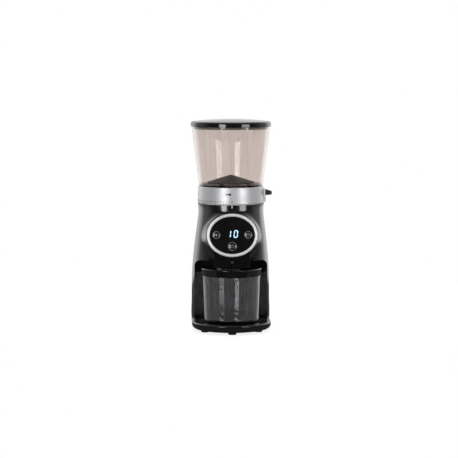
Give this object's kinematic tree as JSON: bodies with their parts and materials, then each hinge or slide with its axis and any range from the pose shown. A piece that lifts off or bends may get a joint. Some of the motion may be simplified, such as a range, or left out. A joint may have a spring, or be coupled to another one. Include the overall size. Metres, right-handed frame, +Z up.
{
  "type": "burr coffee grinder",
  "caption": "Burr coffee grinder with a tapered bean hopper, turning grind collar, oval control panel and a slide-out grounds container.",
  "frame": {"origin": "on the floor under the hopper axis, at the middle of the footprint", "axes": "+Z up, -Y to the front where the panel is, +X to the right seen from the front"},
  "size_m": [0.1389, 0.1868, 0.361],
  "materials": {
    "gloss_black": "high gloss moulded plastic",
    "satin_silver": "satin silver metallic coat on moulded plastic",
    "hopper_smoke": "clear smoked moulding, warm tint",
    "container_smoke": "clear smoked moulding, grey tint",
    "guard_brown": "dark moulded plastic, fine satin",
    "black_plastic": "fine textured moulded plastic",
    "lever_black": "satin moulded plastic",
    "natural_plastic": "natural acetal",
    "slip_white": "low friction plastic",
    "burr_steel": "ground and hardened",
    "bright_steel": "polished",
    "can_steel": "zinc plated",
    "core_steel": "stacked laminations",
    "copper": "turned copper",
    "bronze": "sintered bronze",
    "magnet": "sintered ferrite",
    "carbon": "pressed carbon",
    "rubber": "soft moulded rubber",
    "seal_clear": "translucent silicone",
    "board_green": "solder resist",
    "button_black": "gloss moulded plastic with a printed ring",
    "lens_black": "gloss dark lens",
    "display_black": "seven segment module"
  },
  "bodies": {
    "body": {"housing": "gloss_black", "base_tray": "gloss_black", "base_plate": "black_plastic", "feet": "rubber", "base_screws": "bright_steel", "slip_washer": "slip_white", "panel_bezel": "satin_silver", "panel_lens": "lens_black", "display_module": "display_black", "control_board": "board_green", "button_switches": "black_plastic", "chute": "black_plastic", "chute_nose": "gloss_black", "grind_chamber": "black_plastic", "gearbox_case": "black_plastic", "gearbox_cover": "black_plastic", "gearbox_screws": "bright_steel", "shaft_bearing": "bright_steel", "shaft_bush": "bronze", "idler_pin": "bright_steel", "motor_can": "can_steel", "motor_end_cap": "black_plastic", "motor_magnets": "magnet", "motor_brushes": "carbon", "power_board": "board_green", "cord_gland": "rubber"},
    "collar": {"grind_collar": "satin_silver", "collar_lever": "lever_black"},
    "burr_holder": {"burr_carrier": "black_plastic", "ring_burr": "burr_steel"},
    "bean_hopper": {"hopper": "hopper_smoke", "bean_guard": "guard_brown"},
    "lid": {"hopper_lid": "gloss_black", "lid_seal": "seal_clear"},
    "container": {"grounds_container": "container_smoke", "container_cap": "gloss_black"},
    "cups_key": {"cups_button": "button_black"},
    "timer_key": {"timer_button": "button_black"},
    "start_key": {"start_button": "button_black"},
    "burr_drive": {"cone_burr": "burr_steel", "burr_shaft": "bright_steel", "sweeper": "natural_plastic", "drive_gear": "natural_plastic", "burr_nut": "bright_steel"},
    "idler": {"idler_gear": "natural_plastic"},
    "rotor": {"motor_shaft": "bright_steel", "motor_armature": "core_steel", "commutator": "copper", "motor_pinion": "bronze"}
  },
  "joints": [
    {"name": "grind_adjust", "type": "hinge", "parent": "body", "child": "collar", "pos_m": [0, 0, 0.23], "axis": [0, 0, 1], "range_deg": [0, 90]},
    {"name": "burr_travel", "type": "slide", "parent": "collar", "child": "burr_holder", "axis": [0, 0, 1], "range_m": [0, 0.0015]},
    {"name": "hopper_lift", "type": "slide", "parent": "collar", "child": "bean_hopper", "axis": [0, 0, 1], "range_m": [0, 0.12]},
    {"name": "lid_lift", "type": "slide", "parent": "bean_hopper", "child": "lid", "axis": [0, 0, 1], "range_m": [0, 0.06]},
    {"name": "container_slide", "type": "slide", "parent": "body", "child": "container", "axis": [0, -1, 0], "range_m": [0, 0.125]},
    {"name": "cups_press", "type": "slide", "parent": "body", "child": "cups_key", "axis": [0, 0.9903, -0.1392], "range_m": [0, 0.0008], "stiffness_N_per_m": 600, "springref_m": -0.0006},
    {"name": "timer_press", "type": "slide", "parent": "body", "child": "timer_key", "axis": [0, 0.9903, -0.1392], "range_m": [0, 0.0008], "stiffness_N_per_m": 600, "springref_m": -0.0006},
    {"name": "start_press", "type": "slide", "parent": "body", "child": "start_key", "axis": [0, 0.9903, -0.1392], "range_m": [0, 0.0008], "stiffness_N_per_m": 600, "springref_m": -0.0006},
    {"name": "burr_spin", "type": "hinge", "parent": "body", "child": "burr_drive", "pos_m": [0, 0, 0.18], "axis": [0, 0, 1], "continuous": true},
    {"name": "idler_spin", "type": "hinge", "parent": "body", "child": "idler", "pos_m": [0, 0.03, 0.14], "axis": [0, 0, 1], "continuous": true},
    {"name": "motor_spin", "type": "hinge", "parent": "body", "child": "rotor", "pos_m": [0, 0.054, 0.1], "axis": [0, 0, 1], "continuous": true}
  ],
  "couplings": [
    {"joint": "burr_travel", "follows": "grind_adjust", "m_per_rad": 0.000954},
    {"joint": "idler_spin", "follows": "burr_spin", "ratio": -2.3333},
    {"joint": "motor_spin", "follows": "burr_spin", "ratio": 7}
  ]
}
